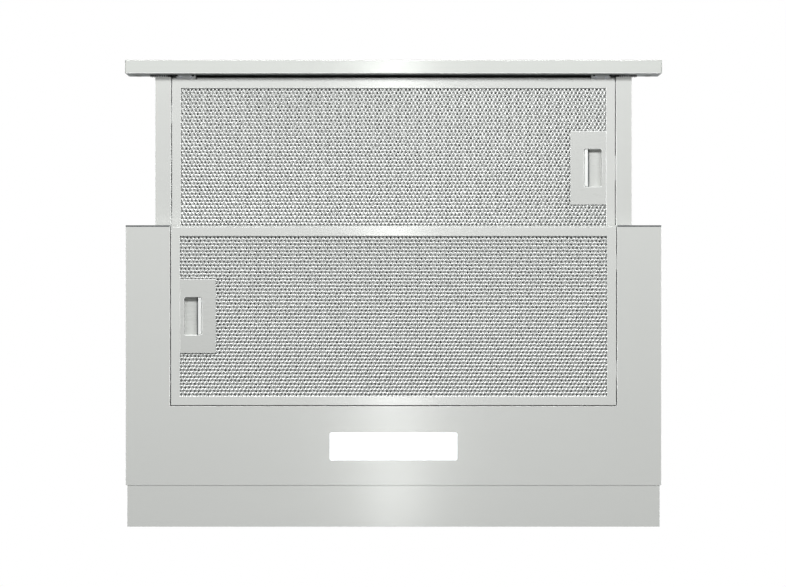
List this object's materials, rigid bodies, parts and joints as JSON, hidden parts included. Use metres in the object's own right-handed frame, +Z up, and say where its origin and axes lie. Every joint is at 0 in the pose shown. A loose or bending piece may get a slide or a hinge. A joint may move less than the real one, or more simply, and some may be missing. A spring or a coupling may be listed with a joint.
{
  "type": "slide-out range hood",
  "caption": "Slide-out cooker hood for a kitchen cupboard: a pull-out tray with a grease filter, a fixed pan with a drop-down filter and lamp, fan housing above and a duct collar on top.",
  "frame": {"origin": "on the pan's underside, at the middle of its rear edge", "axes": "+Z up, -Y towards the user, +X to the user's right when facing the hood"},
  "size_m": [0.5994, 0.5213, 0.247],
  "materials": {
    "pan_steel": "satin silver-grey lacquer over fine horizontal grain",
    "fascia_steel": "satin silver-grey lacquer, brighter than the pan",
    "housing_steel": "plain grey lacquered sheet",
    "zinc_steel": "zinc plated",
    "filter_frame_aluminium": "satin anodised",
    "filter_net_aluminium": "bright expanded net",
    "filter_core_aluminium": "dull folded net",
    "handle_plastic": "silver-grey moulded",
    "latch_plastic": "silver-grey moulded",
    "spring_steel": "bright wire",
    "black_plastic": "moulded, fine texture",
    "scroll_plastic": "moulded dark grey",
    "wheel_plastic": "moulded",
    "flap_plastic": "moulded grey",
    "motor_metal": "cast and lacquered",
    "capacitor_plastic": "moulded can",
    "lamp_diffuser": "opal white",
    "reflector_plastic": "white moulded",
    "board_green": "solder-masked board",
    "box_plastic": "pale grey moulded",
    "lead_rubber": "matt sheath",
    "bezel_plastic": "polished black",
    "button_plastic": "silver-grey",
    "bumper_rubber": "soft pale grey"
  },
  "bodies": {
    "hood_body": {"bottom_pan": "pan_steel", "upper_housing": "housing_steel", "housing_top": "housing_steel", "housing_screws": "zinc_steel", "cabinet_bracket_left": "zinc_steel", "cabinet_bracket_right": "zinc_steel", "blower_scroll": "scroll_plastic", "scroll_cover_left": "scroll_plastic", "scroll_cover_right": "scroll_plastic", "motor_bracket": "zinc_steel", "motor_body": "motor_metal", "motor_capacitor": "capacitor_plastic", "duct_collar": "black_plastic", "flap_pin": "zinc_steel", "lamp_holder": "reflector_plastic", "led_board": "board_green", "lamp_cover": "lamp_diffuser", "electronics_box": "box_plastic", "electronics_lid": "box_plastic", "cable_gland": "black_plastic", "wiring_harness": "lead_rubber", "rail_outer_left": "zinc_steel", "rail_outer_right": "zinc_steel", "rail_brackets": "zinc_steel", "slider_switch": "black_plastic", "strip_nuts": "zinc_steel"},
    "slider": {"slider_tray": "pan_steel", "rail_inner_left": "zinc_steel", "rail_inner_right": "zinc_steel", "fascia_panel": "fascia_steel", "fascia_end_caps": "fascia_steel", "fascia_clips": "zinc_steel", "fascia_adjusters": "black_plastic", "fascia_screws": "zinc_steel", "control_board": "board_green", "control_bezel": "bezel_plastic", "slider_bumpers": "bumper_rubber", "front_filter_frame": "filter_frame_aluminium", "front_filter_net": "filter_net_aluminium", "front_filter_core": "filter_core_aluminium", "front_filter_handle": "handle_plastic", "front_latch_spring": "spring_steel"},
    "front_latch": {"front_latch": "latch_plastic"},
    "rear_filter": {"rear_filter_frame": "filter_frame_aluminium", "rear_filter_net": "filter_net_aluminium", "rear_filter_core": "filter_core_aluminium", "rear_filter_handle": "handle_plastic", "rear_latch_spring": "spring_steel"},
    "rear_latch": {"rear_latch": "latch_plastic"},
    "rear_strip": {"rear_strip": "pan_steel"},
    "rail_mid_left": {"rail_mid_left": "zinc_steel"},
    "rail_mid_right": {"rail_mid_right": "zinc_steel"},
    "fan_rotor": {"impeller": "wheel_plastic", "motor_shaft": "zinc_steel"},
    "flap_front": {"flap_front": "flap_plastic"},
    "flap_rear": {"flap_rear": "flap_plastic"},
    "button_lamp": {"button_lamp": "button_plastic"},
    "button_low": {"button_low": "button_plastic"},
    "button_medium": {"button_medium": "button_plastic"},
    "button_high": {"button_high": "button_plastic"}
  },
  "joints": [
    {"name": "slider_pull", "type": "slide", "parent": "hood_body", "child": "slider", "axis": [0, 1, 0], "range_m": [0, 0.1685]},
    {"name": "rail_left_follow", "type": "slide", "parent": "hood_body", "child": "rail_mid_left", "axis": [0, 1, 0], "range_m": [0, 0.0843]},
    {"name": "rail_right_follow", "type": "slide", "parent": "hood_body", "child": "rail_mid_right", "axis": [0, 1, 0], "range_m": [0, 0.0843]},
    {"name": "front_latch_slide", "type": "slide", "parent": "slider", "child": "front_latch", "axis": [-1, 0, 0], "range_m": [0, 0.005], "stiffness_N_per_m": 300, "springref_m": -0.004, "deforming": ["front_latch_spring"]},
    {"name": "rear_filter_drop", "type": "hinge", "parent": "hood_body", "child": "rear_filter", "pos_m": [0.2485, -0.1887, 0.0003], "axis": [0, -1, 0], "range_deg": [0, 75]},
    {"name": "rear_latch_slide", "type": "slide", "parent": "rear_filter", "child": "rear_latch", "axis": [1, 0, 0], "range_m": [0, 0.005], "stiffness_N_per_m": 300, "springref_m": -0.004, "deforming": ["rear_latch_spring"]},
    {"name": "rear_strip_adjust", "type": "slide", "parent": "hood_body", "child": "rear_strip", "axis": [0, 1, 0], "range_m": [-0.018, 0]},
    {"name": "fan_spin", "type": "hinge", "parent": "hood_body", "child": "fan_rotor", "pos_m": [0, -0.165, 0.118], "axis": [1, 0, 0], "continuous": true},
    {"name": "flap_front_open", "type": "hinge", "parent": "hood_body", "child": "flap_front", "pos_m": [0, -0.115, 0.214], "axis": [-1, 0, 0], "range_deg": [0, 75]},
    {"name": "flap_rear_open", "type": "hinge", "parent": "hood_body", "child": "flap_rear", "pos_m": [0, -0.115, 0.214], "axis": [1, 0, 0], "range_deg": [0, 75]},
    {"name": "button_lamp_press", "type": "slide", "parent": "slider", "child": "button_lamp", "axis": [0, 1, 0], "range_m": [0, 0.0012], "stiffness_N_per_m": 900, "springref_m": -0.001},
    {"name": "button_low_press", "type": "slide", "parent": "slider", "child": "button_low", "axis": [0, 1, 0], "range_m": [0, 0.0012], "stiffness_N_per_m": 900, "springref_m": -0.001},
    {"name": "button_medium_press", "type": "slide", "parent": "slider", "child": "button_medium", "axis": [0, 1, 0], "range_m": [0, 0.0012], "stiffness_N_per_m": 900, "springref_m": -0.001},
    {"name": "button_high_press", "type": "slide", "parent": "slider", "child": "button_high", "axis": [0, 1, 0], "range_m": [0, 0.0012], "stiffness_N_per_m": 900, "springref_m": -0.001}
  ],
  "couplings": [
    {"joint": "rail_left_follow", "follows": "slider_pull", "ratio": 0.5},
    {"joint": "rail_right_follow", "follows": "slider_pull", "ratio": 0.5}
  ]
}
